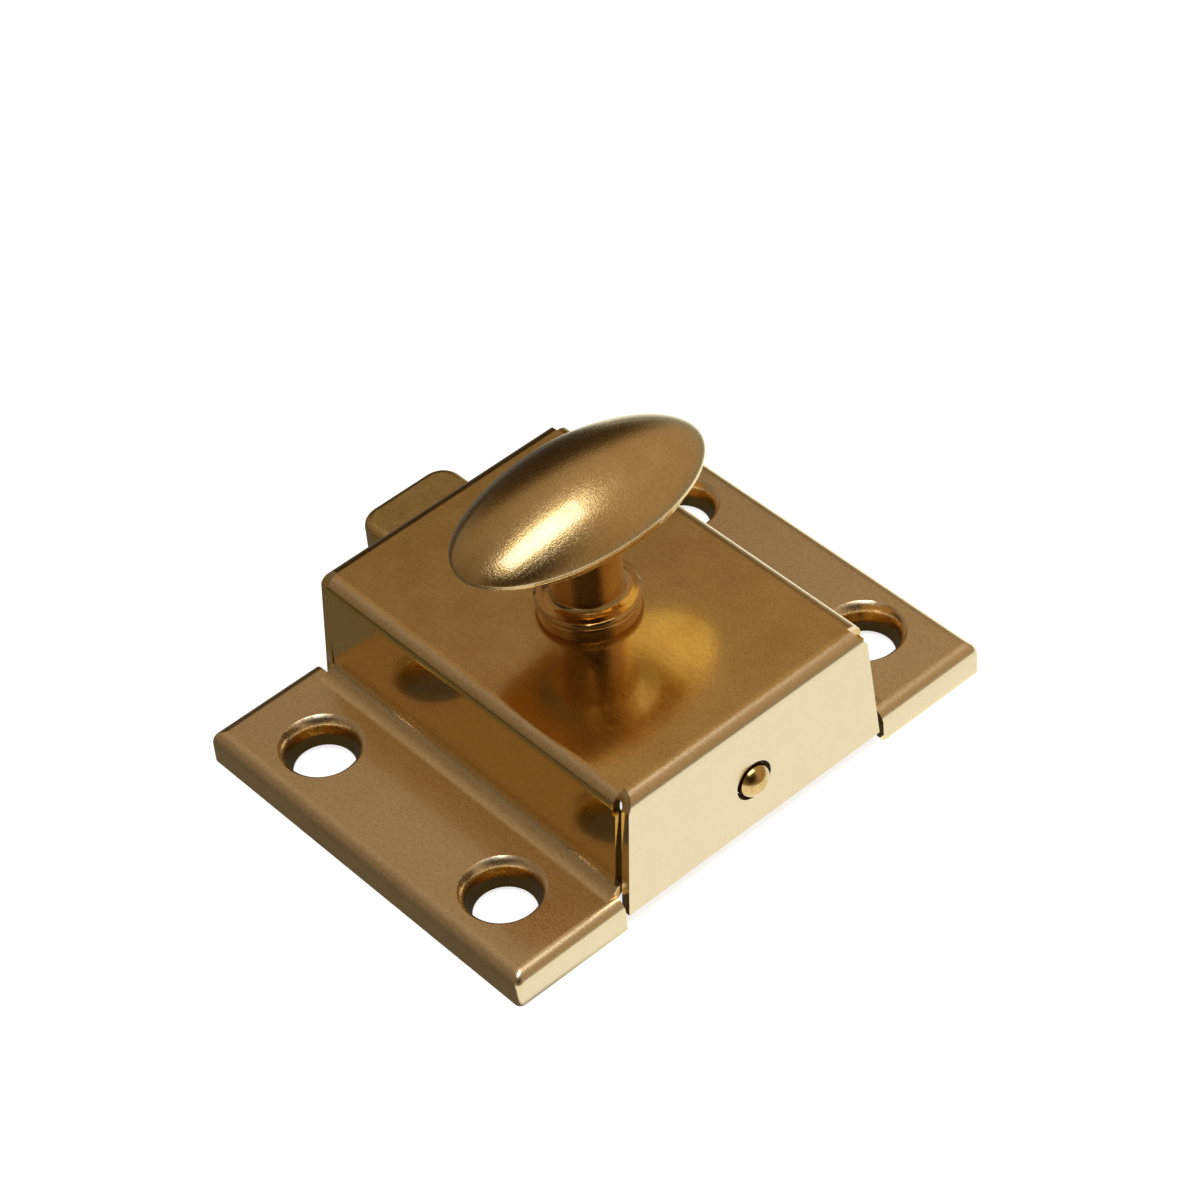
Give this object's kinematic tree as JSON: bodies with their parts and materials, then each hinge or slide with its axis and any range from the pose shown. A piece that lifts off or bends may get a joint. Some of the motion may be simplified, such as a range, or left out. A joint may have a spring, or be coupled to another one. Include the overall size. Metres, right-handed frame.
{
  "type": "cupboard catch",
  "caption": "Surface-mounted cupboard catch: a pressed case with screw flanges, an oval turn knob on a stem, and a bevelled spring bolt that the knob draws back.",
  "frame": {"origin": "centre of the screw holes' rectangle on the mounting plane", "axes": "+Z out of the door, +X the way the bolt points, +Y along the length of the plate"},
  "size_m": [0.047, 0.0542, 0.0301],
  "materials": {
    "case_brass": "satin brass plate on pressed sheet",
    "turned_brass": "bright turned brass",
    "knob_brass": "fine satin brass plate",
    "bolt_brass": "dull brass plate",
    "rod_brass": "bright brass plate",
    "washer_brass": "plain stamped brass",
    "dog_steel": "sintered steel",
    "pin_steel": "bright drawn steel",
    "spring_steel": "spring wire"
  },
  "bodies": {
    "housing": {"case": "case_brass", "collar_bush": "turned_brass"},
    "knob": {"spindle": "turned_brass", "knob_shell": "knob_brass", "knob_back": "knob_brass", "thrust_washer": "washer_brass", "drive_dog": "dog_steel"},
    "bolt": {"latch_bolt": "bolt_brass", "tail_rod": "rod_brass", "cross_pin": "pin_steel", "bolt_spring": "spring_steel"}
  },
  "joints": [
    {"name": "knob_turn", "type": "hinge", "parent": "housing", "child": "knob", "pos_m": [-0.0005, 0, 0.0142], "axis": [0, 0, 1], "range_deg": [0, 80]},
    {"name": "bolt_slide", "type": "slide", "parent": "housing", "child": "bolt", "axis": [1, 0, 0], "range_m": [-0.0059, 0], "stiffness_N_per_m": 400, "springref_m": 0.004, "deforming": ["bolt_spring"]}
  ],
  "couplings": [
    {"joint": "knob_turn", "follows": "bolt_slide", "rad_per_m": -236.65}
  ]
}
